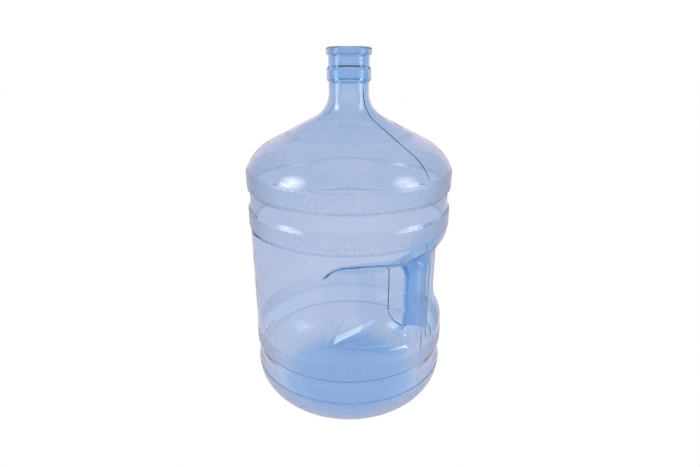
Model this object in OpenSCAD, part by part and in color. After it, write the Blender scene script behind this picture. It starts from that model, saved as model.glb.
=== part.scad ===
// Five-gallon returnable water jug with a moulded side handle.
// One blow-moulded shell, divided at its moulded zones. The zones meet face to face.
// Origin: centre of the base, on the plane that the jug stands on. +Z up, handle towards +X.
// All sizes are in millimetres.

/* [Body] */
// Outer radius of the scuff bands, the widest part of the jug
band_r = 135; // [130:0.5:140]
// Outer radius of the smooth body wall
body_r = 134; // [130:0.5:134.5]
// Outer radius at the bottom of the grooves
groove_r = 132.2; // [130:0.2:133]
// Thickness of the body wall and of the bands
wall = 1.4; // [1.2:0.1:1.4]

/* [Base] */
// Radius of the rounded heel
heel_r = 51; // [45:1:55]
// Inner and outer radius of the flat on the standing ring
foot_in_r = 78; // [74:1:80]
foot_out_r = 84; // [82:1:88]
// Thickness of the heel and of the base
base_wall = 2; // [1.6:0.1:3]
// Slope of the domed floor where it meets the standing ring, in degrees
push_up_slope = 24; // [15:1:28]

/* [Shoulder] */
// Radius of the rounded shoulder
shoulder_r = 60; // [55:1:62]
// Slope of the shoulder cone, in degrees below horizontal
cone_slope = 27.5; // [26:0.5:29]
// Radius of the concave throat between the cone and the neck
throat_r = 36; // [32:1:38]

/* [Neck] */
// Outer radius of the plain neck
neck_r = 25.4; // [25:0.1:26]
// Inner radius of the neck, all the way up to the mouth
bore_r = 22.8; // [22:0.1:23.4]
// Outer radius of the collar under the cap seat
collar_r = 27.7; // [27:0.1:28]
// Outer radius of the wall that a cap grips
seat_r = 25.7; // [25.4:0.1:26]
// Outer radius of the rolled lip
lip_r = 28.4; // [28:0.1:29]

/* [Handle] */
// Distance from the jug's axis to the flat back wall of the hand space
back_x = 76; // [72:1:80]
// Distance from the jug's axis to the axis of the grip
grip_x = 118.5; // [117:0.5:119]
// Outer radius of the grip
grip_r = 16.5; // [15:0.5:17]
// Thickness of the recess and of the grip wall
handle_wall = 2; // [2:0.1:2.6]
// Slope of the recess roof, in degrees above horizontal
roof_slope = 30; // [25:1:32]
// Slope of each half of the recess roof, up and away from the middle, in degrees
roof_spread = 15; // [10:1:18]

/* [Hidden] */
$fn = 96;

// Heights of the zone boundaries above the standing plane
heel_top = 54;
lower_band_z = 87;
body_z = 111;
middle_band_z = 261;
waist_z = 286;
upper_band_z = 311;
shoulder_z = 338;
collar_z = 442;
seat_z = 460;
lip_z = 472.5;
top_z = 483;

// Standing ring: the inner corner of the foot, and where the ring gives way to the heel
foot_round = 6;
ring_end_angle = -60;

// Domed floor: tangent to the foot's inner corner
dome_edge_r = foot_in_r - foot_round * sin(push_up_slope);
dome_r = dome_edge_r / sin(push_up_slope);
dome_centre_z = foot_round * (1 - cos(push_up_slope)) - dome_r * cos(push_up_slope);

// Shoulder: an arc from near upright to the cone, then the throat's arc up to the neck
shoulder_edge_r = body_r - 0.7;
shoulder_start = 25;
shoulder_end = 90 - cone_slope;
shoulder_wall = 1.6;
shoulder_c = [shoulder_edge_r - shoulder_r * cos(shoulder_start),
              shoulder_z - shoulder_r * sin(shoulder_start)];
cone_top = shoulder_c + shoulder_r * [cos(shoulder_end), sin(shoulder_end)];
throat_cx = neck_r + throat_r;
throat_end_r = throat_cx - throat_r * cos(shoulder_end);
throat_end_z = cone_top[1] + (cone_top[0] - throat_end_r) * tan(cone_slope);
throat_cz = throat_end_z + throat_r * sin(shoulder_end);
neck_wall = neck_r - bore_r;

// Bands: corner rounding, and how far the middle band stands proud of the others
edge_r = 2;
middle_proud = 0.6;

// Recess: rounded outline of the opening, and the roundings between it and the body
opening_low = 113;
opening_high = middle_band_z;
opening_half = 111;
high_corner_r = 45;
low_corner_r = 26;
floor_fillet = 16;
floor_slope = 8;
rim_slope = 30;    // slope of the floor rounding's continuation, above the floor at the middle
over_r = 0.6;      // how far the roundings pass the body wall, so that they cross it cleanly
roof_round = 40;
roof_round_z = 265;
floor_round = 16;
far = 160;         // a length beyond the jug's outside

// The roof and the floor meet their roundings tangentially at the middle of the recess
roof_end_r = body_r + over_r - roof_round * (1 - sin(roof_slope));
roof_back_z = roof_round_z - roof_round * cos(roof_slope) - (roof_end_r - back_x) * tan(roof_slope);
floor_end_r = body_r + over_r - floor_round * (1 - sin(floor_slope));
floor_z = opening_low + floor_round * cos(floor_slope)
          + (floor_end_r - back_x - floor_fillet) * tan(floor_slope);

// Grip: fillets where it leaves the floor and the roof
grip_low_z = 136;
grip_high_z = 223;
grip_low_fillet = 18;
grip_high_fillet = 34;

// Points along an arc about centre c, from angle a0 to a1
function arc(c, r, a0, a1, n = 10) =
    [for (i = [0:n]) let (a = a0 + (a1 - a0) * i / n) c + r * [cos(a), sin(a)]];

function reversed(p) = [for (i = [len(p) - 1:-1:0]) p[i]];

// A ring whose outer outline is given, with a wall of constant thickness measured inwards
module shell(outline, thick) {
    inner = [for (p = outline) [p[0] - thick, p[1]]];
    rotate_extrude() polygon(concat(outline, reversed(inner)));
}

// A ring between two outlines that both run upwards or outwards
module ring_between(outer, inner) {
    rotate_extrude() polygon(concat(outer, reversed(inner)));
}

// ---- neck ----

module pouring_lip() {
    round_top = 3.4;
    round_low = 2;
    mouth_round = 2;
    color([0.50, 0.63, 0.80])
    ring_between(
        concat([[seat_r, lip_z]],
               arc([lip_r - round_low, lip_z + round_low + 1.2], round_low, -60, 0, 5),
               arc([lip_r - round_top, top_z - round_top], round_top, 0, 90, 8)),
        concat([[bore_r, lip_z]],
               arc([bore_r + mouth_round, top_z - mouth_round], mouth_round, 180, 90, 6)));
}

module cap_seat() {
    color([0.43, 0.55, 0.73])
    ring_between([[seat_r, seat_z], [seat_r, lip_z]], [[bore_r, seat_z], [bore_r, lip_z]]);
}

module neck_collar() {
    chamfer = 2;
    color([0.52, 0.65, 0.82])
    ring_between(
        [[neck_r, collar_z], [collar_r, collar_z + chamfer], [collar_r, seat_z - chamfer],
         [seat_r, seat_z]],
        [[bore_r, collar_z], [bore_r, seat_z]]);
}

module neck_tube() {
    color([0.55, 0.67, 0.85])
    ring_between([[neck_r, throat_cz], [neck_r, collar_z]],
                 [[bore_r, throat_cz], [bore_r, collar_z]]);
}

// ---- shoulder and bands ----

module shoulder_dome() {
    color([0.62, 0.72, 0.86])
    ring_between(
        concat(arc(shoulder_c, shoulder_r, shoulder_start, shoulder_end),
               arc([throat_cx, throat_cz], throat_r, 180 + shoulder_end, 180)),
        concat(arc(shoulder_c, shoulder_r - shoulder_wall, shoulder_start, shoulder_end),
               arc([throat_cx, throat_cz], throat_r + neck_wall, 180 + shoulder_end, 180)));
}

module upper_band() {
    color([0.66, 0.74, 0.86])
    shell(concat([[groove_r, upper_band_z]],
                 arc([band_r - edge_r, upper_band_z + 2 * edge_r], edge_r, -60, 0, 4),
                 arc([band_r - edge_r, shoulder_z - 2 * edge_r], edge_r, 0, 60, 4),
                 [[shoulder_edge_r, shoulder_z]]),
          wall);
}

module waist_groove() {
    color([0.70, 0.77, 0.88])
    shell([[groove_r, waist_z], [groove_r, upper_band_z]], wall);
}

module middle_band() {
    face_r = band_r + middle_proud;
    color([0.66, 0.74, 0.86])
    shell(concat([[body_r, middle_band_z]],
                 arc([face_r - edge_r, middle_band_z + 2 * edge_r], edge_r, -60, 0, 4),
                 arc([face_r - edge_r, waist_z - 2 * edge_r], edge_r, 0, 60, 4),
                 [[groove_r, waist_z]]),
          wall);
}

module lower_band() {
    color([0.66, 0.74, 0.86])
    shell(concat([[body_r, lower_band_z]],
                 arc([band_r - edge_r, lower_band_z + 2 * edge_r], edge_r, -60, 0, 4),
                 arc([band_r - edge_r, body_z - 2 * edge_r], edge_r, 0, 60, 4),
                 [[body_r, body_z]]),
          wall);
}

module base_groove() {
    steps = 10;
    // One wave of a cosine, from the heel's radius to the groove's and out to the body's
    color([0.68, 0.76, 0.88])
    shell([for (i = [0:steps])
              let (t = i / steps, rim = band_r + (body_r - band_r) * t)
              [rim - (rim - groove_r) * (1 - cos(360 * t)) / 2,
               heel_top + (lower_band_z - heel_top) * t]],
          wall);
}

// ---- base ----

module base_heel() {
    centre = [foot_out_r, heel_r];
    color([0.52, 0.63, 0.78])
    ring_between(
        concat(arc(centre, heel_r, ring_end_angle, 0), [[band_r, heel_top]]),
        concat(arc(centre, heel_r - base_wall, ring_end_angle, 0),
               [[band_r - wall, heel_top]]));
}

module standing_ring() {
    inner_corner = [foot_in_r, foot_round];
    heel_centre = [foot_out_r, heel_r];
    color([0.48, 0.62, 0.82])
    ring_between(
        concat(arc(inner_corner, foot_round, -90 - push_up_slope, -90, 3),
               arc(heel_centre, heel_r, -90, ring_end_angle, 6)),
        concat(arc(inner_corner, foot_round - base_wall, -90 - push_up_slope, -90, 3),
               arc(heel_centre, heel_r - base_wall, -90, ring_end_angle, 6)));
}

module base_push_up() {
    centre = [0, dome_centre_z];
    color([0.50, 0.66, 0.88])
    ring_between(arc(centre, dome_r, 90, 90 - push_up_slope),
                 arc(centre, dome_r + base_wall, 90, 90 - push_up_slope));
}

// ---- handle ----

// The space for the hand, in front of the flat back wall. grow moves every wall outwards.
module hand_space(grow) {
    intersection() {
        opening_outline(grow);
        union() {
            roof_side(grow, 1);
            roof_side(grow, -1);
            roof_rounding(grow);
        }
        union() {
            above_floor(grow);
            floor_rounding(grow);
        }
    }
}

// Rounded outline of the opening, seen along X, carried out from the back wall
module opening_outline(grow) {
    high_c = [opening_half - high_corner_r, opening_high - high_corner_r];
    low_c = [opening_half - low_corner_r, opening_low + low_corner_r];
    translate([back_x - grow, 0, 0])
    rotate([90, 0, 90])
    linear_extrude(height = far)
    union() {
        translate([-high_c[0], opening_low])
            square([2 * high_c[0], opening_high - opening_low]);
        translate([-low_c[0], opening_low])
            square([2 * low_c[0], high_c[1] - opening_low]);
        translate([-opening_half - grow, low_c[1]])
            square([2 * (opening_half + grow), high_c[1] - low_c[1]]);
        for (side = [-1, 1]) {
            intersection() {
                translate([side * high_c[0], high_c[1]]) circle(r = high_corner_r + grow);
                translate([-far, opening_low]) square([2 * far, opening_high - opening_low]);
            }
            intersection() {
                translate([side * low_c[0], low_c[1]]) circle(r = low_corner_r + grow);
                translate([-far, opening_low]) square([2 * far, opening_high - opening_low]);
            }
        }
    }
}

// Everything under one half of the V-shaped roof
module roof_side(grow, side) {
    lift = grow / (cos(roof_slope) * cos(roof_spread));
    translate([back_x, 0, roof_back_z + lift])
    rotate([side * roof_spread, 0, 0])
    rotate([0, -roof_slope, 0])
    translate([-far, -2 * far, -4 * far])
    cube([4 * far, 4 * far, 4 * far]);
}

// Everything above the floor, with the fillet at the foot of the back wall
module above_floor(grow) {
    fillet_c = [back_x + floor_fillet, floor_z + floor_fillet];
    rotate([90, 0, 0])
    linear_extrude(height = 2 * far, center = true)
    polygon(concat([[back_x - grow, opening_high + far]],
                   arc(fillet_c, floor_fillet + grow, 180, 270 - floor_slope, 6),
                   [[far, floor_z - grow - (far - fillet_c[0]) * tan(floor_slope)],
                    [far, opening_high + far]]));
}

// Outside of the rounded edge between the body wall and the roof
module roof_rounding(grow) {
    centre = [body_r + over_r - roof_round, roof_round_z];
    edge = arc(centre, roof_round - grow, 0, roof_slope - 90, 8);
    rotate_extrude()
    polygon(concat(edge, [[far, edge[len(edge) - 1][1]], [far, roof_round_z]]));
}

// Outside and above the rounded edge between the body wall and the floor
module floor_rounding(grow) {
    centre = [body_r + over_r - floor_round, opening_low];
    edge = arc(centre, floor_round - grow, 0, 90 - floor_slope, 6);
    last = edge[len(edge) - 1];
    rise = (last[0] - back_x / 2) * tan(rim_slope);
    rotate_extrude()
    polygon(concat(edge, [[back_x / 2, last[1] + rise], [back_x / 2, opening_high + far],
                          [far, opening_high + far], [far, opening_low]]));
}

// The grip as a solid of revolution about its own axis, filleted into the floor and the roof
module grip_form(r, low_fillet, high_fillet) {
    low_c = [r + low_fillet, grip_low_z];
    high_c = [r + high_fillet, grip_high_z];
    translate([grip_x, 0, 0])
    rotate_extrude($fn = 64)
    polygon(concat([[0, opening_low]],
                   [[low_c[0], opening_low]],
                   arc(low_c, low_fillet, 270, 180, 6),
                   arc(high_c, high_fillet, 180, 90, 6),
                   [[high_c[0], opening_high], [0, opening_high]]));
}

module body_cylinder(r) {
    translate([0, 0, opening_low]) cylinder(r = r, h = opening_high - opening_low);
}

module body_wall() {
    color([0.70, 0.76, 0.89])
    difference() {
        shell([[body_r, body_z], [body_r, middle_band_z]], wall);
        hand_space(handle_wall);
    }
}

module handle_recess() {
    color([0.71, 0.77, 0.88])
    difference() {
        intersection() {
            body_cylinder(body_r);
            hand_space(handle_wall);
        }
        hand_space(0);
        grip_form(grip_r, grip_low_fillet, grip_high_fillet);
    }
}

module handle_grip() {
    color([0.46, 0.59, 0.79])
    difference() {
        intersection() {
            body_cylinder(body_r);
            hand_space(handle_wall);
            grip_form(grip_r, grip_low_fillet, grip_high_fillet);
        }
        intersection() {
            body_cylinder(body_r - handle_wall);
            grip_form(grip_r - handle_wall, grip_low_fillet + handle_wall,
                      grip_high_fillet + handle_wall);
        }
    }
}

pouring_lip();
cap_seat();
neck_collar();
neck_tube();
shoulder_dome();
upper_band();
waist_groove();
middle_band();
body_wall();
handle_recess();
handle_grip();
lower_band();
base_groove();
base_heel();
standing_ring();
base_push_up();
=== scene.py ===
import bpy
import numpy as np
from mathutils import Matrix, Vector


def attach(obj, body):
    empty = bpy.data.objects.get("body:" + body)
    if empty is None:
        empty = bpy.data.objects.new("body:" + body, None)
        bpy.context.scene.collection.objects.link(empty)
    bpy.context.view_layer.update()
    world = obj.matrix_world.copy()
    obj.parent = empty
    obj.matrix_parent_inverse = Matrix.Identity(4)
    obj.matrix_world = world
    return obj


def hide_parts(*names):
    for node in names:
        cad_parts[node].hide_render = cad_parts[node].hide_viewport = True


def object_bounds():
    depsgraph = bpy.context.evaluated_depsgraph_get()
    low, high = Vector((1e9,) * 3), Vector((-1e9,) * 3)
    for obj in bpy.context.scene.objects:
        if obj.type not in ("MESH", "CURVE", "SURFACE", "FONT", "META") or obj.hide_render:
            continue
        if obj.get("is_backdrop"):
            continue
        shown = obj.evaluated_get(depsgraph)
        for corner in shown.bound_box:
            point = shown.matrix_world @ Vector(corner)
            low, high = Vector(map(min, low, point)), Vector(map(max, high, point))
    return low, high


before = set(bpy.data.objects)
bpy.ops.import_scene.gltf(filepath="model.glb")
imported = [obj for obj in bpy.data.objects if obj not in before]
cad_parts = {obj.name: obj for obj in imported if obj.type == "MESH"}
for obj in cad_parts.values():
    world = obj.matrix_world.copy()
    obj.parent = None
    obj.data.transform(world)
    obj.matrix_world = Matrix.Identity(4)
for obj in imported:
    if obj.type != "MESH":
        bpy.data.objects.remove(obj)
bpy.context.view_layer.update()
MM = 0.001

# ---------------------------------------------------------------------------
# Camera: stands in front of the jug and a little above it, with the handle
# turned 45 degrees to the right of the line of sight. Distances in metres.
# ---------------------------------------------------------------------------
CAMERA_AZIMUTH = np.radians(45.0)
CAMERA_PITCH = np.radians(22.05)
CAMERA_DISTANCE = 0.654
CAMERA_HEIGHT = 0.501

camera_data = bpy.data.cameras.new("camera")
camera_data.sensor_width = 36.0
camera_data.lens = 25.83
camera_data.shift_x = 0.0016
camera_data.shift_y = 0.0007
camera_data.clip_start = 0.01
camera = bpy.data.objects.new("camera", camera_data)
camera.location = (CAMERA_DISTANCE * np.sin(CAMERA_AZIMUTH),
                   -CAMERA_DISTANCE * np.cos(CAMERA_AZIMUTH), CAMERA_HEIGHT)
camera.rotation_euler = (np.pi / 2 - CAMERA_PITCH, 0, CAMERA_AZIMUTH)
bpy.context.collection.objects.link(camera)
bpy.context.scene.camera = camera

# ---------------------------------------------------------------------------
# Outline: half of the jug's section, from the middle of the base to the mouth.
# The parison is blown against the mould, so the outside holds every detail and
# the inside follows it one wall thickness in. Millimetres, as (radius, height).
# ---------------------------------------------------------------------------
BAND_R, BODY_R, GROOVE_R = 135.0, 134.0, 132.2
# heights at which one zone of the jug ends and the next begins
HEEL_TOP, LOWER_BAND_LOW, BODY_LOW, BODY_HIGH = 54.0, 87.0, 111.0, 261.0
WAIST_LOW, UPPER_BAND_LOW, SHOULDER_LOW = 286.0, 311.0, 338.0
COLLAR_LOW, SEAT_LOW, LIP_LOW = 442.0, 460.0, 472.5
HEEL_R, FOOT_OUT_R, FOOT_IN_R, FOOT_ROUND = 51.0, 84.0, 78.0, 6.0
PUSH_UP_SLOPE = np.radians(24)
SHOULDER_R, SHOULDER_START, CONE_NORMAL = 60.0, np.radians(25), np.radians(62.5)
THROAT_R, NECK_R, BORE_R = 36.0, 25.4, 22.8
COLLAR_R, SEAT_R, LIP_R, TOP_Z = 27.7, 25.7, 28.4, 483.0


def arc(centre, radius, start, end, steps):
    """Points on a circle: centre + radius * (cos a, sin a), a from start to end in equal steps."""
    a = np.linspace(start, end, steps + 1)
    return np.stack([centre[0] + radius * np.cos(a), centre[1] + radius * np.sin(a)], 1)


def rounded(corners, steps=6):
    """A polyline whose corners are rounded: at each (r, z, radius) the two straight runs are
    cut back by radius * tan(turn / 2) and joined by an arc of that radius."""
    out = [np.array(corners[0][:2])]
    for before, here, after in zip(corners, corners[1:], corners[2:]):
        p, radius = np.array(here[:2]), here[2]
        d0, d1 = p - np.array(before[:2]), np.array(after[:2]) - p
        d0, d1 = d0 / np.hypot(*d0), d1 / np.hypot(*d1)
        turn = np.arctan2(d0[0] * d1[1] - d0[1] * d1[0], d0 @ d1)
        if radius == 0 or abs(turn) < 1e-3:
            out.append(p)
            continue
        side = np.sign(turn) * np.array([-d0[1], d0[0]])
        cut = p - d0 * radius * np.tan(abs(turn) / 2)
        a = np.linspace(0, abs(turn), steps + 1)[:, None]
        out.extend(cut + side * radius * (1 - np.cos(a)) + d0 * radius * np.sin(a))
    out.append(np.array(corners[-1][:2]))
    return np.array(out)


dome_edge_r = FOOT_IN_R - FOOT_ROUND * np.sin(PUSH_UP_SLOPE)
dome_r = dome_edge_r / np.sin(PUSH_UP_SLOPE)
dome_z = FOOT_ROUND * (1 - np.cos(PUSH_UP_SLOPE)) - dome_r * np.cos(PUSH_UP_SLOPE)
shoulder_edge = np.array([BODY_R - 0.7, SHOULDER_LOW])
shoulder_centre = shoulder_edge - SHOULDER_R * np.array([np.cos(SHOULDER_START),
                                                         np.sin(SHOULDER_START)])
cone_low = shoulder_centre + SHOULDER_R * np.array([np.cos(CONE_NORMAL), np.sin(CONE_NORMAL)])
throat_centre = np.array([NECK_R + THROAT_R, 0.0])
cone_high_r = throat_centre[0] - THROAT_R * np.cos(CONE_NORMAL)
cone_high_z = cone_low[1] + (cone_low[0] - cone_high_r) / np.tan(CONE_NORMAL)
throat_centre[1] = cone_high_z + THROAT_R * np.sin(CONE_NORMAL)

base = np.concatenate([
    arc((0, dome_z), dome_r, np.pi / 2, np.pi / 2 - PUSH_UP_SLOPE, 24),
    arc((FOOT_IN_R, FOOT_ROUND), FOOT_ROUND, -np.pi / 2 - PUSH_UP_SLOPE, -np.pi / 2, 5)[1:],
    arc((FOOT_OUT_R, HEEL_R), HEEL_R, -np.pi / 2, 0, 30)])
# corners as (radius, height, rounding): heel step, base groove, lower band, body
low_zone = rounded([(BAND_R, HEEL_R, 0), (BAND_R, 53.0, 0.25), (BAND_R - 0.9, 53.6, 0.2),
                    (BAND_R - 0.45, 54.2, 0.3), (BAND_R - 0.6, 57.5, 8), (GROOVE_R, 67, 12),
                    (GROOVE_R, 76, 14), (BODY_R - 0.4, 86.4, 0.8), (BAND_R + 0.1, 87.8, 1.4),
                    (BAND_R + 0.1, 99.5, 12), (BODY_R, BODY_LOW - 2.0, 9),
                    (BODY_R, BODY_LOW, 0)])[1:]
# middle band, waist groove, upper band, edge of the shoulder
high_zone = rounded([(BODY_R, BODY_HIGH, 0), (BODY_R, BODY_HIGH + 0.9, 0.8),
                     (BAND_R + 0.3, BODY_HIGH + 2.8, 1.8), (BAND_R + 0.2, 284.6, 2.6),
                     (GROOVE_R - 0.2, 289.2, 5), (GROOVE_R - 0.2, 309.6, 4),
                     (BAND_R + 0.1, 313.4, 1.8), (BAND_R + 0.2, 334.4, 3.0),
                     (shoulder_edge[0], shoulder_edge[1], 0)])[1:-1]
# neck, chamfered collar, seat of the cap, lip
neck = rounded([(NECK_R, throat_centre[1], 0), (NECK_R, COLLAR_LOW, 0.8), (COLLAR_R, 444.2, 0.8),
                (COLLAR_R, 457.6, 0.8), (SEAT_R, SEAT_LOW, 0.8), (SEAT_R, 472.6, 0.8),
                (LIP_R, 474.4, 1.2), (LIP_R, TOP_Z, 3.4), (25.2, TOP_Z, 0)], 5)[1:]
body_rows = np.linspace(BODY_LOW, BODY_HIGH, 61)[1:]
outline = np.concatenate([
    base, low_zone, np.stack([np.full(len(body_rows), BODY_R), body_rows], 1), high_zone,
    arc(shoulder_centre, SHOULDER_R, SHOULDER_START, CONE_NORMAL, 18),
    np.linspace(cone_low, (cone_high_r, cone_high_z), 16)[1:-1],
    arc(throat_centre, THROAT_R, np.pi + CONE_NORMAL, np.pi, 16), neck])

# ---------------------------------------------------------------------------
# Inner wall: a blown wall follows the outside one thickness in, but softer, as
# the melt can't fill small corners. In the neck the bore is straight.
# ---------------------------------------------------------------------------
WALL_BASE, WALL_BODY, WALL_SHOULDER, WALL_HANDLE = 2.0, 1.4, 1.6, 2.0


def softened(values, along, reach):
    """Gaussian average of values at positions along a line: each row becomes the mean of all
    rows, weighted by exp(-(distance / reach)^2 / 2) and by the length each row stands for."""
    weight = np.exp(-0.5 * ((along[:, None] - along[None, :]) / reach) ** 2)
    weight *= np.gradient(along)[None, :]
    return (weight @ values) / weight.sum(1, keepdims=True)


def profile_normals(profile, *spacing):
    """Unit normals of a polyline to its right-hand side: its direction turned by a quarter."""
    tangent = np.gradient(profile, *spacing, axis=0)
    tangent /= np.linalg.norm(tangent, axis=1, keepdims=True)
    return np.stack([tangent[:, 1], -tangent[:, 0]], 1)


MOUTH_ROUND, NORMAL_REACH, WALL_REACH = 2.0, 3.0, 2.0
along = np.concatenate([[0], np.cumsum(np.hypot(*np.diff(outline, axis=0).T))])
keep = np.concatenate([[True], np.diff(along) > 1e-4])
outline, along = outline[keep], along[keep]
normal_2d = profile_normals(outline, along)
normal_2d[0] = (0, -1)
soft_normal = softened(normal_2d, along, NORMAL_REACH)
soft_normal /= np.linalg.norm(soft_normal, axis=1, keepdims=True)
wall = np.interp(outline[:, 1], [0, 30, 70, 330, 400, throat_centre[1]],
                 [WALL_BASE, WALL_BASE, WALL_BODY, WALL_BODY, WALL_SHOULDER, NECK_R - BORE_R])
wall[outline[:, 0] < FOOT_IN_R] = WALL_BASE
inline = outline - wall[:, None] * soft_normal
in_body = (outline[:, 1] > 40) & (outline[:, 1] < 345)
inline[in_body] = softened(inline, along, WALL_REACH)[in_body]
in_neck = (outline[:, 1] > throat_centre[1]) & (np.arange(len(outline)) > len(outline) // 2)
inline[in_neck] = np.stack([np.full(in_neck.sum(), BORE_R), outline[in_neck, 1]], 1)
inline[0, 0] = 0
mouth = arc((BORE_R + MOUTH_ROUND, TOP_Z - MOUTH_ROUND), MOUTH_ROUND, np.pi / 2, np.pi, 5)
outline = np.concatenate([outline[outline[:, 1] < TOP_Z - 1e-6], [(25.3, TOP_Z)], mouth])
first_lip_row = int(np.argmax(outline[:, 1] > 474.5))
lip_rows = len(outline) - first_lip_row
inline = np.concatenate([inline[:first_lip_row], np.stack([
    np.full(lip_rows, BORE_R),
    np.linspace(outline[first_lip_row, 1], TOP_Z - MOUTH_ROUND, lip_rows)], 1)])
normal_out, normal_in = profile_normals(outline), -profile_normals(inline)
normal_out[0], normal_in[0] = (0, -1), (0, 1)
normal_out[-1], normal_in[-1] = (-1, 0), (-1, 0)

# ---------------------------------------------------------------------------
# Mould seams: the two mould halves meet in the plane of the handle, and leave a
# fine raised line down both sides of the jug.
# ---------------------------------------------------------------------------
SEAM_HEIGHT, SEAM_REACH, REAR_SEAM, WELD_SEAM = 0.42, 0.6, 0.3, 1.5
WINDOW_TURN = 66.5
# columns in degrees from the handle: close together at both seams, even in between
near = np.array([0.0, 0.1, 0.2, 0.32, 0.5, 0.8, 1.3])
half_turn = np.concatenate([near, np.arange(2.0, 66.0, 1.5), np.arange(WINDOW_TURN, 178.0, 2.0),
                            180 - near[::-1]])
turn = np.radians(np.concatenate([half_turn, 360 - half_turn[-2:0:-1]]))
COLS = len(turn)
window_cols = int(np.argmin(np.abs(half_turn - WINDOW_TURN))) + 1
ROWS = len(outline)
row_low = int(np.argmin(np.abs(outline[:, 1] - BODY_LOW) + 100 * (outline[:, 0] < 133.9)))
row_high = row_low + len(body_rows)


def seam(y):
    """Height of the seam line: a bell of SEAM_HEIGHT, exp(-(y / SEAM_REACH)^2)."""
    return SEAM_HEIGHT * np.exp(-(y / SEAM_REACH) ** 2)


def revolve(profile, normals, ridge):
    """Points (r cos t, r sin t, z) for every row of the profile and every turn t, with their
    normals, and with the seam's height added to r where ridge is 1."""
    r, z = profile[:, :1], profile[:, 1:]
    lift = 0
    if ridge is not None:
        lift = ridge[:, None] * seam(r * np.sin(turn)) * np.where(np.cos(turn) > 0, 1.0, REAR_SEAM)
    points = np.stack([(r + lift) * np.cos(turn), (r + lift) * np.sin(turn), z + 0 * turn], -1)
    n_r, n_z = normals[:, :1], normals[:, 1:]
    y = r * np.sin(turn)
    side = 2 * y / SEAM_REACH ** 2 * lift * np.sign(np.cos(turn)) if ridge is not None else 0
    n = np.stack([n_r * np.cos(turn) - side * np.sin(turn) * np.sign(np.cos(turn)),
                  n_r * np.sin(turn) + side * np.cos(turn) * np.sign(np.cos(turn)),
                  n_z + 0 * turn], -1)
    return points, n / np.linalg.norm(n, axis=-1, keepdims=True)


# strong down the shoulder and at the handle, faint where the bands were pressed flat
has_seam = np.interp(outline[:, 1], [1, 20, 105, BODY_LOW, BODY_HIGH, 265, 330, 352, 430, 441],
                     [0, 0.3, 0.3, 1, 1, 0.15, 0.15, 1.5, 1.5, 0])
has_seam[:len(base) - 30] = 0
outer_points, outer_normals = revolve(outline, normal_out, has_seam)
inner_points, inner_normals = revolve(inline, normal_in, None)
index = np.arange(ROWS * COLS).reshape(ROWS, COLS)
index[0] = index[0, 0]                                    # the pole in the middle of the base

# ---------------------------------------------------------------------------
# Handle zone, as one blended surface f = 0: the body's cylinder, cut by a back
# wall, a sloping roof and a floor, and joined again by the round grip.
# Each function returns (distance, gradient), so that blends know their angles.
# ---------------------------------------------------------------------------
BACK_X, BACK_ROUND, GRIP_X, GRIP_R, GRIP_EDGE = 76.0, 900.0, 121.5, 16.0, 6.0
BACK_EDGE, FLOOR_EDGE, ROOF_EDGE, CORNER_EDGE = 4.5, 14.0, 32.0, 4.0    # roundings on the body
ROOF_SLOPE, ROOF_SPREAD, ROOF_BEND = np.tan(np.radians(29)), np.tan(np.radians(22.9)), 30.0
OUTLINE_HALF, OUTLINE_LOW, OUTLINE_HIGH = 115.4, 113.0, 261.0
OUTLINE_ROUND_LOW, OUTLINE_ROUND_HIGH = 28.0, 58.0
ROOF_BACK_Z, FLOOR_Z, FLOOR_X, FLOOR_SLOPE = 208.0, 132.9, 92.0, np.tan(np.radians(8))


def ease(x, low, high):
    """0 below low, 1 above high, and 3t^2 - 2t^3 between."""
    t = np.clip((x - low) / (high - low), 0, 1)
    return t * t * (3 - 2 * t)


def convex(a, b, radius):
    """Where two faces meet in an outer edge: the larger distance, or, between the two faces'
    normals, the distance to a circle of that radius that touches both. With A = a + radius,
    B = b + radius and c the cosine between the normals, the circle's offset is
    sqrt((A^2 + B^2 - 2 A B c) / (1 - c^2)) - radius. The radius fades to nothing between c = 0.88
    and c = 0.97, because two nearly parallel faces have no edge to round."""
    (fa, ga), (fb, gb) = a, b
    c = np.clip((ga * gb).sum(-1), -0.97, 0.97)
    radius = radius * (1 - ease(c, 0.88, 0.97)) + 1e-3
    big_a, big_b = fa + radius, fb + radius
    s2 = 1 - c * c
    wa, wb = (big_a - big_b * c) / s2, (big_b - big_a * c) / s2
    inside = (wa > 0) & (wb > 0)
    length = np.sqrt(np.maximum(big_a ** 2 + big_b ** 2 - 2 * big_a * big_b * c, 1e-12) / s2)
    g_round = (wa[..., None] * ga + wb[..., None] * gb) / length[..., None]
    f = np.where(inside, length - radius, np.maximum(fa, fb))
    g = np.where(inside[..., None], g_round, np.where((fa > fb)[..., None], ga, gb))
    return f, g / np.maximum(np.linalg.norm(g, axis=-1, keepdims=True), 1e-9)


def concave(a, b, radius):
    """Where two faces meet in an inner corner: the same blend with the inside out."""
    f, g = convex((-a[0], -a[1]), (-b[0], -b[1]), radius)
    return -f, -g


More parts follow.
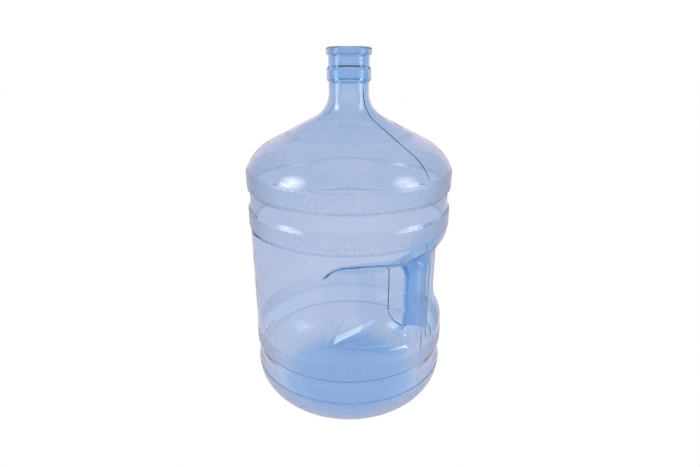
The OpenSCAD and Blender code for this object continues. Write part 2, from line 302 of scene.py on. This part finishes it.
def handle_zone(p):
    """Distance to the outside of the wall around the handle, and its gradient, in millimetres."""
    x, y, z = p[..., 0], p[..., 1], p[..., 2]
    one, nil = np.ones_like(x), np.zeros_like(x)
    r = np.hypot(x, y)
    body = (r - BODY_R, np.stack([x / r, y / r, nil], -1))
    g = np.stack([one, y / BACK_ROUND, nil], -1)
    size = np.linalg.norm(g, axis=-1)
    back = ((x - BACK_X + y * y / (2 * BACK_ROUND)) / size, g / size[..., None])
    spread = np.sqrt(y * y + ROOF_BEND ** 2)
    roof_z = ROOF_BACK_Z + ROOF_SLOPE * (x - BACK_X) + ROOF_SPREAD * (spread - ROOF_BEND)
    g = np.stack([ROOF_SLOPE * one, ROOF_SPREAD * y / spread, -one], -1)
    size = np.linalg.norm(g, axis=-1)
    roof = ((roof_z - z) / size, g / size[..., None])
    floor_z = FLOOR_Z - FLOOR_SLOPE * (x - FLOOR_X)
    g = np.stack([FLOOR_SLOPE * one, nil, one], -1)
    size = np.linalg.norm(g, axis=-1)
    floor = ((z - floor_z) / size, g / size[..., None])
    # the opening's upper and lower corners, rounded as seen along x
    high_side = z > 180
    r_corner = np.where(high_side, OUTLINE_ROUND_HIGH, OUTLINE_ROUND_LOW)
    from_y = np.maximum(np.abs(y) - (OUTLINE_HALF - r_corner), 1e-3)
    from_z = np.maximum(np.where(high_side, z - (OUTLINE_HIGH - r_corner),
                                 OUTLINE_LOW + r_corner - z), 1e-3)
    size = np.hypot(from_y, from_z)
    corner = (r_corner - size, np.stack([nil, -from_y / size * np.sign(y), np.where(
        high_side, -1, 1) * from_z / size], -1))
    # the roof's edge is rounded widely in the middle and tightly at its ends
    edge = ROOF_EDGE * np.exp(-(spread - ROOF_BEND) / 50.0)
    walls = concave(convex(body, back, BACK_EDGE), convex(body, floor, FLOOR_EDGE), 16.0)
    walls = concave(walls, convex(body, roof, edge), 5.0 + 5.0 * ease(np.abs(y), 10, 60))
    walls = concave(walls, convex(body, corner, CORNER_EDGE), 7.0)
    q = np.hypot(x - GRIP_X, y)
    grip = (q - GRIP_R, np.stack([(x - GRIP_X) / q, y / q, nil], -1))
    # the grip's fillets grow towards its top and towards the outside
    outside = ease(x, 108, 126)
    high = ease(z, 150, 210)
    fillet = (1 - high) * (6 + 8 * outside) + high * (8 + 22 * outside)
    return convex(concave(walls, grip, fillet), body, GRIP_EDGE)


def settle(p, steps):
    """Newton steps onto the surface: p moves by -f g, at most 3 mm at a time."""
    for _ in range(steps):
        f, g = handle_zone(p)
        p = p - np.clip(f, -3, 3)[..., None] * g
    return p


def spaced(line, parts):
    """Points along a polyline at the given fractions of its length."""
    s = np.concatenate([[0], np.cumsum(np.linalg.norm(np.diff(line, axis=0), axis=1))])
    return np.stack([np.interp(parts * s[-1], s, line[:, i]) for i in range(line.shape[1])], 1)


# the finger hole's loop in the plane of the handle, from rays out of its middle
RAYS, HOLE_X, HOLE_Z = 720, 90, 178
rays = np.linspace(0, 2 * np.pi, RAYS + 1)[:-1]
reach = np.zeros(RAYS)
for _ in range(60):
    tip = np.stack([HOLE_X + reach * np.cos(rays), 0 * rays, HOLE_Z + reach * np.sin(rays)], 1)
    reach += np.clip(handle_zone(tip)[0], -1, 4) * 0.8
loop = np.stack([HOLE_X + reach * np.cos(rays), 0 * rays, HOLE_Z + reach * np.sin(rays)], 1)
c_a, c_b, c_c, c_d = (int(np.argmin(np.hypot(loop[:, 0] - x, loop[:, 2] - z)))
                      for x, z in ((103, 130), (76, 138), (76, 208), (104, 226)))

# outline of the opening on the body: a rounded window from which the surface turns inwards
WINDOW_HALF, WINDOW_LOW, WINDOW_HIGH = 118.3, 114.4, 260.0
CORNER_LOW, CORNER_HIGH = 28.0, 34.0
window = np.concatenate([
    [(0, WINDOW_LOW)],
    arc((WINDOW_HALF - CORNER_LOW, WINDOW_LOW + CORNER_LOW), CORNER_LOW, -np.pi / 2, 0, 24),
    arc((WINDOW_HALF - CORNER_HIGH, WINDOW_HIGH - CORNER_HIGH), CORNER_HIGH, 0, np.pi / 2, 24),
    [(0, WINDOW_HIGH)]])
window = np.concatenate([np.linspace(a, b, 9)[:-1] for a, b in zip(window, window[1:])]
                        + [window[-1:]])
window_turn = np.arcsin(window[:, 0] / BODY_R)
window = np.stack([BODY_R * np.cos(window_turn), window[:, 0], window[:, 1]], 1)
cut_low, cut_high = (int(np.argmin(np.abs(window[:, 2] - z) + 200 * (window[:, 1] < 90)))
                     for z in (WINDOW_LOW + 12, WINDOW_HIGH - 20))
turn_part = half_turn[:window_cols] / half_turn[window_cols - 1]
side_part = np.linspace(0, 1, row_high - row_low + 1)
MIDDLE = 64
middle_part = np.linspace(0, 1, MIDDLE)
opening = np.concatenate([
    spaced(window[:cut_low + 1], turn_part), spaced(window[cut_low:cut_high + 1], side_part)[1:],
    spaced(window[cut_high:], 1 - turn_part[::-1])[1:]])
ring = np.concatenate([opening, np.stack([
    np.full(MIDDLE, BODY_R), np.zeros(MIDDLE),
    np.linspace(WINDOW_HIGH, WINDOW_LOW, MIDDLE)], 1)[1:-1]])


def loop_part(start, end, parts):
    """The loop from one corner to the next, against the sense of its rays, at given parts."""
    line = loop[np.arange(start, start - ((start - end) % RAYS) - 1, -1) % RAYS]
    return spaced(line, parts)


hole = np.concatenate([
    loop_part(c_a, c_b, turn_part ** 0.8), loop_part(c_b, c_c, side_part)[1:],
    loop_part(c_c, c_d, 1 - turn_part[::-1] ** 0.8)[1:], loop_part(c_d, c_a, middle_part)[1:-1]])

# first guess between the window and the hole, then evened out on the surface
STEPS, ROUNDS, LAST_ROUNDS = 60, 160, 5
across = np.linspace(0, 1, STEPS + 1)[None, :, None]
patch = ring[:, None] * (1 - across) + hole[:, None] * across
count, recess_count = len(ring), len(opening)
k = np.arange(count)
to_grip = np.where(k < recess_count,
                   np.exp(-(np.minimum(k, recess_count - 1 - k) / 14.0) ** 2), 1.0)
# the guess swings out sideways round the grip
patch[..., 1] += (to_grip[:, None] * np.sin(np.pi * across[:, :, 0])
                  * (GRIP_R + 4 * (k < recess_count)[:, None]))
for i in range(ROUNDS):
    even = 0.25 * (np.roll(patch, 1, 0) + np.roll(patch, -1, 0))[:, 1:-1]
    even += 0.25 * (patch[:, 2:] + patch[:, :-2])
    patch[:, 1:-1] = settle(even, 2 if i < ROUNDS - LAST_ROUNDS else 8)

# finer rows beside both ends of the patch, so that the seam line has a shape
fine = np.array([0.05, 0.1, 0.17, 0.26, 0.38, 0.55, 0.75])
steps = np.concatenate([[0], fine, np.arange(1, STEPS), STEPS - fine[::-1], [STEPS]])
low = np.minimum(steps.astype(int), STEPS - 1)
part = (steps - low)[None, :, None]
ends = patch[:, [0, -1]]
patch = settle(patch[:, low] * (1 - part) + patch[:, low + 1] * part, 6)
patch[:, [0, -1]] = ends
_, patch_normals = handle_zone(patch)
patch_wall = WALL_BODY + (WALL_HANDLE - WALL_BODY) * ease(np.arange(len(steps)), 2, 16)
patch_inner = patch - patch_wall[None, :, None] * patch_normals
patch_inner_normals = -patch_normals


def with_seam(points, normals):
    """Moves each point out along its normal by the seam's bell of its distance y from the plane
    of the handle, and leans the normal by the bell's slope."""
    y = points[..., 1]
    lift = seam(y) * np.where(points[..., 0] < GRIP_X, WELD_SEAM, 1.0)
    slope = 2 * y / SEAM_REACH ** 2 * lift
    lean = slope[..., None] * (np.array([0, 1.0, 0]) - normals * normals[..., 1:2])
    n = normals + lean
    return points + lift[..., None] * normals, n / np.linalg.norm(n, axis=-1, keepdims=True)


# the frame of plain body wall between the grid of the whole jug and the opening
FRAME_STEPS = 6
k_all = np.concatenate([np.zeros(window_cols - 1, int), np.arange(row_high - row_low),
                        np.full(window_cols, row_high - row_low)]) + row_low
j_all = np.concatenate([np.arange(window_cols - 1), np.full(row_high - row_low, window_cols - 1),
                        np.arange(window_cols)[::-1]])
edge_turn, edge_z = turn[j_all], outline[k_all, 1]
in_turn, in_z = np.arctan2(opening[:, 1], opening[:, 0]), opening[:, 2]
share = np.linspace(0, 1, FRAME_STEPS + 1)[None]
f_turn = edge_turn[:, None] * (1 - share) + in_turn[:, None] * share
f_z = edge_z[:, None] * (1 - share) + in_z[:, None] * share
radial = np.stack([np.cos(f_turn), np.sin(f_turn), 0 * f_turn], -1)
height = np.stack([0 * f_z, 0 * f_z, f_z], -1)
frame_points, frame_normals = with_seam(BODY_R * radial + height, radial)
frame_inner, frame_inner_normals = (BODY_R - WALL_BODY) * radial + height, -radial
patch, patch_normals = with_seam(patch, patch_normals)
# shared edges take the same values from one side
frame_points[:, 0], frame_normals[:, 0] = outer_points[k_all, j_all], outer_normals[k_all, j_all]
frame_inner[:, 0] = inner_points[k_all, j_all]
frame_inner_normals[:, 0] = inner_normals[k_all, j_all]
patch[:recess_count, 0], patch_inner[:recess_count, 0] = frame_points[:, -1], frame_inner[:, -1]
patch_normals[:recess_count, 0] = frame_normals[:, -1]
patch_inner_normals[:recess_count, 0] = frame_inner_normals[:, -1]

# ---------------------------------------------------------------------------
# One wall, then its pieces: every quad of the outside has a quad on the inside,
# and a piece is a set of quads closed by the joint faces round its border.
# ---------------------------------------------------------------------------
MIRROR = np.array([1, -1, 1])


def quads_of(numbers, around=False):
    """Quads (i, j), (i+1, j), (i+1, j+1), (i, j+1) of a grid of vertex numbers, with the first
    way closed on itself if around."""
    after = np.roll(numbers, -1, 0) if around else numbers[1:]
    here = numbers if around else numbers[:-1]
    return np.stack([here[:, :-1], after[:, :-1], after[:, 1:], here[:, 1:]], -1)


outer_all, inner_all, n_outer_all, n_inner_all, quads, labels = [], [], [], [], [], []
total = 0


def add_grid(outer, inner, n_outer, n_inner, numbers, label, flip=False):
    """Adds a grid of the wall: its points, and its quads with a piece number for each."""
    global total
    for store, values in ((outer_all, outer), (inner_all, inner), (n_outer_all, n_outer),
                          (n_inner_all, n_inner)):
        store.append(values.reshape(-1, 3) * (MIRROR if flip else 1))
    cells = numbers.reshape(-1, 4) + total
    quads.append(cells[:, ::-1] if flip else cells)
    labels.append(label.ravel())
    total += outer.shape[0] * outer.shape[1]


PIECES = ("base_push_up", "standing_ring", "base_heel", "base_groove", "lower_band", "body_wall",
          "middle_band", "waist_groove", "upper_band", "shoulder_dome", "neck_tube",
          "neck_collar", "cap_seat", "pouring_lip", "handle_recess", "handle_grip")
NUMBER = {name: number for number, name in enumerate(PIECES)}
SPLITS = (HEEL_TOP, LOWER_BAND_LOW, BODY_LOW, BODY_HIGH, WAIST_LOW, UPPER_BAND_LOW, SHOULDER_LOW,
          throat_centre[1], COLLAR_LOW, SEAT_LOW, LIP_LOW)
STANDING_RING_R, BASE_ROWS, PUSH_UP_ROWS = 109.5, 60, 24
row_middle = 0.5 * (outline[1:] + outline[:-1])
row_label = NUMBER["base_heel"] + np.searchsorted(SPLITS, row_middle[:, 1])
row_label[:BASE_ROWS][row_middle[:BASE_ROWS, 0] < STANDING_RING_R] = NUMBER["standing_ring"]
row_label[:PUSH_UP_ROWS] = NUMBER["base_push_up"]
cells = quads_of(index.T, True).transpose(1, 0, 2)       # (rows - 1, columns, 4)
cell_label = np.repeat(row_label[:, None], COLS, 1)
in_window = np.zeros((ROWS - 1, COLS), bool)
in_window[row_low:row_high, :window_cols - 1] = True
in_window[row_low:row_high, COLS - window_cols + 1:] = True
add_grid(outer_points, inner_points, outer_normals, inner_normals,
         cells[~in_window], cell_label[~in_window])
frame_index = np.arange(frame_points[..., 0].size).reshape(frame_points.shape[:2])
patch_index = np.arange(patch[..., 0].size).reshape(patch.shape[:2])
# the recess keeps one strip above and below the grip, which joins its two halves
in_recess = (k < recess_count) | (k == count - 1)
strip_label = np.where(in_recess, NUMBER["handle_recess"], NUMBER["handle_grip"])
patch_label = np.repeat(strip_label[:, None], len(steps) - 1, 1)
frame_label = np.full((len(frame_index) - 1, FRAME_STEPS), NUMBER["body_wall"])
for flip in (False, True):
    add_grid(frame_points, frame_inner, frame_normals, frame_inner_normals,
             quads_of(frame_index), frame_label, flip)
    add_grid(patch, patch_inner, patch_normals, patch_inner_normals,
             quads_of(patch_index, True), patch_label, flip)
outer_all, inner_all, n_outer_all, n_inner_all, quads, labels = (
    np.concatenate(v) for v in (outer_all, inner_all, n_outer_all, n_inner_all, quads, labels))
# points closer than the weld distance become one
WELD = 2e-3
_, first, same = np.unique(np.round(outer_all / WELD).astype(np.int64), axis=0,
                           return_index=True, return_inverse=True)
outer_all, inner_all, n_outer_all, n_inner_all = (
    v[first] for v in (outer_all, inner_all, n_outer_all, n_inner_all))
quads = same.ravel()[quads]
welded = np.linalg.norm(outer_all - inner_all, axis=1) < 1e-6        # the mouth's last row
count_all = len(outer_all)


def border(cells):
    """Directed edges of the quads whose reverse is in no quad of the same set."""
    a, b = cells.ravel(), np.roll(cells, -1, 1).ravel()
    real = a != b
    a, b = a[real], b[real]
    alone = ~np.isin(b.astype(np.int64) * count_all + a, a.astype(np.int64) * count_all + b)
    return a[alone], b[alone]


def piece_mesh(name, cells):
    """Closed mesh of one piece: outside, inside turned round, and a joint face from outside to
    inside along each border edge. Materials: 0 outside, 1 inside, 2 joint faces."""
    partner = np.where(welded, np.arange(count_all), np.arange(count_all) + count_all)
    a, b = border(cells)
    open_edge = ~(welded[a] & welded[b])
    a, b = a[open_edge], b[open_edge]
    faces = [cells, partner[cells[:, ::-1]], np.stack([b, a, partner[a], partner[b]], 1)]
    kinds = np.concatenate([np.full(len(f), i) for i, f in enumerate(faces)])
    faces = np.concatenate(faces)
    points = np.concatenate([outer_all, inner_all]) * MM
    normals = np.concatenate([n_outer_all, n_inner_all])
    used, local = np.unique(faces, return_inverse=True)
    local = local.reshape(faces.shape)
    lists = [[v for i, v in enumerate(f) if v != f[i - 1]] for f in local.tolist()]
    mesh = bpy.data.meshes.new(name)
    mesh.from_pydata(points[used].tolist(), [], lists)
    mesh.polygons.foreach_set("material_index", kinds.astype(np.int32))
    mesh.polygons.foreach_set("use_smooth", np.ones(len(lists), bool))
    mesh.update()
    mesh.normals_split_custom_set_from_vertices(normals[used])
    # the tint attribute: the plastic's colour for its wall count, darkened also by painted shade on
    # the recess's roof, along the seam and under the bands' edges
    depth_with_painted_shade = np.concatenate([walls_with_painted_shade, walls_with_painted_shade])[used]
    colour = mesh.attributes.new("tint", "FLOAT_COLOR", "POINT")
    tints = np.array(TINT)[None, :] ** depth_with_painted_shade[:, None]
    colour.data.foreach_set("color", tints.ravel().astype(np.float32))
    return mesh


# colour: how much plastic gathers in the base and the grip, in body walls; how much painted shade
# darkens the recess's roof, the seam and the lines under sharp edges; and the heights of those
# edges
BASE_GATHER, GRIP_GATHER, ROOF_SHADE_AMOUNT, SEAM_SHADE_AMOUNT, EDGE_SHADE_AMOUNT = 2.2, 0.6, 0.8, 2.2, 1.6
LINE_HEIGHTS = (53.6, 87.0, 262.0, 312.0)
TINT = (0.765, 0.89, 0.985, 1.0)       # what is left of white light after one body wall


def deeper(outer, inner):
    """How many body walls thick the plastic looks, for its colour: the distance from outside to
    inside over the body's wall, and more where the melt gathers, in the base and in the grip;
    plus painted shade, added as if the plastic were thicker: on the recess's roof, along the
    seam and under each sharp edge of the bands."""
    x, y, z = outer.T
    wall_here = np.linalg.norm(outer - inner, axis=1)
    walls = np.clip(wall_here / WALL_BODY, 1.0, 2.4)
    walls = 1 + (walls - 1) * np.where(z > SHOULDER_LOW + 2, 1.0, 0.25)
    radius = np.hypot(x, y)
    base_part = BASE_GATHER * (1 - ease(radius, 84, 118)) * (z < 60)
    along_grip = ease(z, 120, 132) * (1 - ease(z, 225, 250))
    across_grip = ease(x, 97, 101) * (1 - ease(np.abs(y), 19, 22))
    grip_part = (0.5 + 1.3 * (1 - ease(x, 104, 122))) * across_grip * along_grip
    # painted shade: the recess's roof, which faces down, is drawn a deeper blue as if the plastic
    # were thicker there
    faces_down = (inner - outer)[:, 2] / np.maximum(wall_here, 1e-6)
    roof_painted_shade = ease(faces_down, 0.04, 0.3) * (z > 195) * (z < WINDOW_HIGH + 0.5)
    # painted shade: a dark line along the mould seam, added to the colour as if the plastic were
    # thicker there
    seam_painted_shade = SEAM_SHADE_AMOUNT * np.exp(-(y / 0.8) ** 2) * (x > 0) * np.interp(
        z, [105, BODY_LOW, BODY_HIGH, 265, 345, 352, 430, 441], [0, 1, 1, 0, 0, 1, 1, 0])
    # painted shade: dark lines just under the bands' sharp edges, added to the colour as if the
    # plastic were thicker there
    edge_painted_shade = sum(np.exp(-((z - edge) / 0.9) ** 2) for edge in LINE_HEIGHTS) * (radius > 128)
    return walls * (1 + base_part + GRIP_GATHER * grip_part + ROOF_SHADE_AMOUNT * roof_painted_shade
                    + seam_painted_shade + EDGE_SHADE_AMOUNT * edge_painted_shade)


walls_with_painted_shade = deeper(outer_all, inner_all)


# ---------------------------------------------------------------------------
# Plastic of every piece: light-blue clear polycarbonate. Its colour is the tint
# that one wall gives, deepened by the wall count kept in each mesh, which also
# holds painted shade on the recess's roof, along the seam and under the bands'
# edges; the scuff bands and the heel carry a fine stipple that the mould gives
# their outside.
# ---------------------------------------------------------------------------
class Wire:
    """A node socket that takes part in Python arithmetic: each operator adds a Math node."""

    def __init__(self, kit, socket):
        self.kit, self.socket = kit, socket

    def _math(self, operation, a, b):
        return self.kit.add("ShaderNodeMath", {"operation": operation}, {0: a, 1: b})

    def __add__(self, other):
        return self._math("ADD", self, other)

    def __sub__(self, other):
        return self._math("SUBTRACT", self, other)

    def __rsub__(self, other):
        return self._math("SUBTRACT", other, self)

    def __mul__(self, other):
        return self._math("MULTIPLY", self, other)

    def __truediv__(self, other):
        return self._math("DIVIDE", self, other)

    def __rtruediv__(self, other):
        return self._math("DIVIDE", other, self)

    __radd__, __rmul__ = __add__, __mul__


class Kit:
    """The nodes of one material or world. add() takes a node's type, its settings and its
    sockets' values or wires, and gives the wire of its first output, or of the one named."""

    def __init__(self, owner):
        owner.use_nodes = True
        self.tree = owner.node_tree
        self.tree.nodes.clear()

    def add(self, kind, settings=None, sockets=None, output=0):
        node = self.tree.nodes.new(kind)
        for name, value in (settings or {}).items():
            if name == "stops":
                ramp = node.color_ramp
                for place, _ in value[2:]:
                    ramp.elements.new(place)
                for element, (place, colour) in zip(ramp.elements, sorted(value)):
                    element.position, element.color = place, colour
            else:
                setattr(node, name, value)
        for name, value in (sockets or {}).items():
            if isinstance(value, Wire):
                self.tree.links.new(value.socket, node.inputs[name])
            else:
                node.inputs[name].default_value = value
        return Wire(self, node.outputs[output]) if len(node.outputs) else node


IOR = 1.585


def polycarbonate(name, roughness=0.0, stipple=0.0):
    """Clear plastic: refraction tinted by the tint attribute, one wall's colour deepened by the
    wall count and by painted shade; a shadow ray goes straight through with one wall's tint.
    Stipple is the height in metres of the fine moulded grain."""
    material = bpy.data.materials.new(name)
    kit = Kit(material)
    place = kit.add("ShaderNodeTexCoord", output="Object")
    drawn = kit.add("ShaderNodeMapping", {}, {"Vector": place, "Scale": (1.0, 1.0, 0.12)})
    wave = kit.add("ShaderNodeTexNoise", {}, {"Vector": place, "Scale": 22.0, "Detail": 1.0}, "Fac")
    streak = kit.add("ShaderNodeTexNoise", {},
                     {"Vector": drawn, "Scale": 55.0, "Detail": 2.0}, "Fac")
    normal = kit.add("ShaderNodeBump", {}, {"Strength": 1.0, "Distance": 0.0004,
                                            "Height": wave + 0.3 * streak})
    # the tint attribute holds the wall colour together with the painted shade set in deeper()
    colour = kit.add("ShaderNodeAttribute", {"attribute_name": "tint"}, {}, "Color")
    if stipple:
        grain = kit.add("ShaderNodeTexNoise", {},
                        {"Vector": place, "Scale": 380.0, "Detail": 3.0}, "Fac")
        speckle = kit.add("ShaderNodeValToRGB", {"stops": [
            (0.40, (0.80, 0.84, 0.89, 1)), (0.60, (1, 1, 1, 1))]}, {"Fac": grain}, "Color")
        colour = kit.add("ShaderNodeMix", {"data_type": "RGBA", "blend_type": "MULTIPLY"},
                         {"Factor": 1.0, 6: colour, 7: speckle}, 2)
        normal = kit.add("ShaderNodeBump", {}, {"Strength": 1.0, "Distance": stipple,
                                                "Height": grain, "Normal": normal})
    glass = kit.add("ShaderNodeBsdfPrincipled", {}, {
        "Base Color": colour, "Roughness": roughness + 0.03 * wave, "IOR": IOR,
        "Transmission Weight": 1.0, "Normal": normal})
    clear = kit.add("ShaderNodeBsdfTransparent", {}, {"Color": TINT})
    shadow = kit.add("ShaderNodeLightPath", output="Is Shadow Ray")
    kit.add("ShaderNodeOutputMaterial", {}, {"Surface": kit.add(
        "ShaderNodeMixShader", {}, {0: shadow, 1: glass, 2: clear})})
    return material


def joint_face():
    """Where two pieces of the one wall meet there is no surface: light passes unchanged."""
    material = bpy.data.materials.new("joint_face")
    kit = Kit(material)
    kit.add("ShaderNodeOutputMaterial", {}, {"Surface": kit.add(
        "ShaderNodeBsdfTransparent", {}, {"Color": (1.0, 1.0, 1.0, 1.0)})})
    return material


clear_wall, deep_wall = polycarbonate("clear_wall"), polycarbonate("deep_wall")
stippled_wall = polycarbonate("stippled_wall", 0.18, 0.0006)
joint = joint_face()


def blown_piece(name, outside, inside):
    """The piece's part of the one wall, as an object with its three materials."""
    mesh = piece_mesh(name, quads[labels == NUMBER[name]])
    for material in (outside, inside, joint):
        mesh.materials.append(material)
    piece = bpy.data.objects.new("blown_" + name, mesh)
    bpy.context.collection.objects.link(piece)
    return piece


# ---------------------------------------------------------------------------
# Base: a domed floor that is pushed up inside the ring the jug stands on. Both
# are thick clear polycarbonate, because the mould pinches the parison here.
# ---------------------------------------------------------------------------
for name in ("base_push_up", "standing_ring"):
    piece = blown_piece(name, deep_wall, deep_wall)
    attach(piece, "root")
    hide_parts(name)

# ---------------------------------------------------------------------------
# Heel and scuff bands: the widest zones, which rub in crates and coolers. The
# mould stipples their outside to hide scratches; the inside stays smooth.
# ---------------------------------------------------------------------------
for name in ("base_heel", "lower_band", "middle_band", "upper_band"):
    piece = blown_piece(name, stippled_wall, clear_wall)
    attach(piece, "root")
    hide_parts(name)

# ---------------------------------------------------------------------------
# Smooth wall: two stiffening grooves, the body's cylinder and the shoulder,
# all glossy clear polycarbonate blown against a polished part of the mould.
# ---------------------------------------------------------------------------
for name in ("base_groove", "body_wall", "waist_groove", "shoulder_dome"):
    piece = blown_piece(name, clear_wall, clear_wall)
    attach(piece, "root")
    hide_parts(name)

# ---------------------------------------------------------------------------
# Neck: plain tube, chamfered collar that centres the jug in a cooler, seat that
# a snap cap grips, and rolled lip. The parison is thickest here, so the blue is
# deeper.
# ---------------------------------------------------------------------------
for name in ("neck_tube", "neck_collar", "cap_seat", "pouring_lip"):
    piece = blown_piece(name, deep_wall, deep_wall)
    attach(piece, "root")
    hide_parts(name)

# ---------------------------------------------------------------------------
# Handle recess: the back wall, roof and floor of the hand space, clear like the
# body. The mould's cores press it in and weld its two sides round the finger
# hole.
# ---------------------------------------------------------------------------
recess = blown_piece("handle_recess", clear_wall, clear_wall)
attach(recess, "root")
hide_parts("handle_recess")

# ---------------------------------------------------------------------------
# Handle grip: an upright hollow tube, blown in the same shot and open to the
# inside at both ends. Seen through several walls it is the jug's deepest blue.
# ---------------------------------------------------------------------------
grip = blown_piece("handle_grip", deep_wall, deep_wall)
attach(grip, "root")
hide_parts("handle_grip")

# ---------------------------------------------------------------------------
# Floor: plain and white to the camera. To the light that reaches the plastic it
# is pale lavender under the jug and towards the camera, and darker to the sides.
# ---------------------------------------------------------------------------
FLOOR_HALF, FLOOR_DROP, UNDER_JUG, BACKDROP_TURN = 6.0, 0.0003, 0.12, np.radians(45.0)
floor_mesh = bpy.data.meshes.new("floor")
floor_mesh.from_pydata([(-FLOOR_HALF, -FLOOR_HALF, 0), (FLOOR_HALF, -FLOOR_HALF, 0),
                        (FLOOR_HALF, FLOOR_HALF, 0), (-FLOOR_HALF, FLOOR_HALF, 0)],
                       [], [(0, 1, 2, 3)])
floor_stage = bpy.data.objects.new("floor", floor_mesh)
floor_stage.location.z = -FLOOR_DROP
bpy.context.collection.objects.link(floor_stage)
floor_paint = bpy.data.materials.new("floor_paint")


def lit_backdrop(kit, x, y, near):
    """Brightness by direction from the jug, for light that reaches it: bright in front and
    behind, darker to both sides. It is a ramp over (t^2 + near) / (x^2 + y^2 + near), where t is
    the distance along the backdrop's axis and near, in square metres, keeps the middle bright."""
    toward = x * float(np.sin(BACKDROP_TURN)) - y * float(np.cos(BACKDROP_TURN))
    share = (toward * toward + near) / (x * x + y * y + near)
    return kit.add("ShaderNodeValToRGB", {"stops": [
        (0.0, (0.30, 0.36, 0.50, 1)), (1.0, (0.80, 0.70, 0.79, 1)),
        (0.5, (0.56, 0.53, 0.63, 1)), (0.82, (0.85, 0.745, 0.83, 1))]}, {"Fac": share}, "Color")


kit = Kit(floor_paint)
place = kit.add("ShaderNodeTexCoord", output="Object")
x = kit.add("ShaderNodeSeparateXYZ", {}, {0: place}, "X")
over = lit_backdrop(kit, x, Wire(kit, x.socket.node.outputs["Y"]), UNDER_JUG)
seen = kit.add("ShaderNodeLightPath", output="Is Camera Ray")
plain = kit.add("ShaderNodeBsdfPrincipled", {}, {
    "Base Color": (0.1, 0.1, 0.1, 1.0), "Roughness": 0.9, "Specular IOR Level": 0.0,
    "Emission Color": (1.0, 1.0, 1.0, 1.0), "Emission Strength": 0.95})
dimmed = kit.add("ShaderNodeEmission", {}, {"Color": over, "Strength": 1.0})
kit.add("ShaderNodeOutputMaterial", {}, {"Surface": kit.add(
    "ShaderNodeMixShader", {}, {0: seen, 1: dimmed, 2: plain})})
floor_mesh.materials.append(floor_paint)
floor_stage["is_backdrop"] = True

# ---------------------------------------------------------------------------
# Sky: white to the camera. To the plastic it is the same lavender, falling to a
# cool grey overhead, with a soft round light high on either side of the camera.
# ---------------------------------------------------------------------------
world = bpy.data.worlds.new("studio")
bpy.context.scene.world = world
kit = Kit(world)
way = kit.add("ShaderNodeTexCoord", output="Generated")
x = kit.add("ShaderNodeSeparateXYZ", {}, {0: way}, "X")
y, up = (Wire(kit, x.socket.node.outputs[n]) for n in ("Y", "Z"))
low_light = lit_backdrop(kit, x, y, 1e-6)
fall = kit.add("ShaderNodeValToRGB", {"stops": [
    (0.0, (1, 1, 1, 1)), (1.0, (0.40, 0.48, 0.66, 1)),
    (0.12, (1, 1, 1, 1)), (0.5, (0.54, 0.61, 0.74, 1))]}, {"Fac": up}, "Color")
sky = kit.add("ShaderNodeMix", {"data_type": "RGBA", "blend_type": "MULTIPLY"},
              {"Factor": 1.0, 6: low_light, 7: fall}, 2)


def soft_box(azimuth, elevation, reach, strength):
    """A round soft light far off: strength * t^2 with t rising from 0 at reach degrees from its
    middle to 1 in the middle, by the cosine of the angle between it and the direction."""
    a, e = np.radians(azimuth), np.radians(elevation)
    cosine = (x * float(np.cos(e) * np.sin(a)) - y * float(np.cos(e) * np.cos(a))
              + up * float(np.sin(e)))
    edge = float(np.cos(np.radians(reach)))
    t = kit.add("ShaderNodeMath", {"operation": "MAXIMUM"},
                {0: (cosine - edge) / (1 - edge), 1: 0.0})
    return t * t * strength


boxes = soft_box(45 - 72, 35, 17, 5.0) + soft_box(45 + 72, 35, 17, 3.0)
air = kit.add("ShaderNodeBackground", {}, {"Color": sky, "Strength": 1.0})
lit = kit.add("ShaderNodeBackground", {}, {"Color": (1.0, 0.98, 0.96, 1.0), "Strength": boxes})
white = kit.add("ShaderNodeBackground", {}, {"Color": (1.0, 1.0, 1.0, 1.0), "Strength": 1.02})
around = kit.add("ShaderNodeAddShader", {}, {0: air, 1: lit})
kit.add("ShaderNodeOutputWorld", {}, {"Surface": kit.add("ShaderNodeMixShader", {}, {
    0: kit.add("ShaderNodeLightPath", output="Is Camera Ray"), 1: around, 2: white})})

# ---------------------------------------------------------------------------
# Tall soft boxes: they stand on the floor on both sides, and give the neck its
# upright lines.
# ---------------------------------------------------------------------------
TALL_BOX_AWAY, TALL_BOX_HEIGHT = 1.6, 0.62
for name, azimuth in (("tall_box_left", 45 - 74), ("tall_box_right", 45 + 74)):
    light = bpy.data.lights.new(name, "AREA")
    light.shape, light.size, light.size_y, light.energy = "RECTANGLE", 0.45, 1.1, 3.5
    lamp = bpy.data.objects.new(name, light)
    a = np.radians(azimuth)
    lamp.location = (TALL_BOX_AWAY * np.sin(a), -TALL_BOX_AWAY * np.cos(a), TALL_BOX_HEIGHT)
    lamp.rotation_euler = (np.pi / 2, 0, a)
    bpy.context.collection.objects.link(lamp)

scene = bpy.context.scene
scene.view_settings.view_transform = "Standard"
scene.cycles.max_bounces = 32
scene.cycles.transmission_bounces = 28
scene.cycles.glossy_bounces = 12
scene.cycles.transparent_max_bounces = 32

low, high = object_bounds()
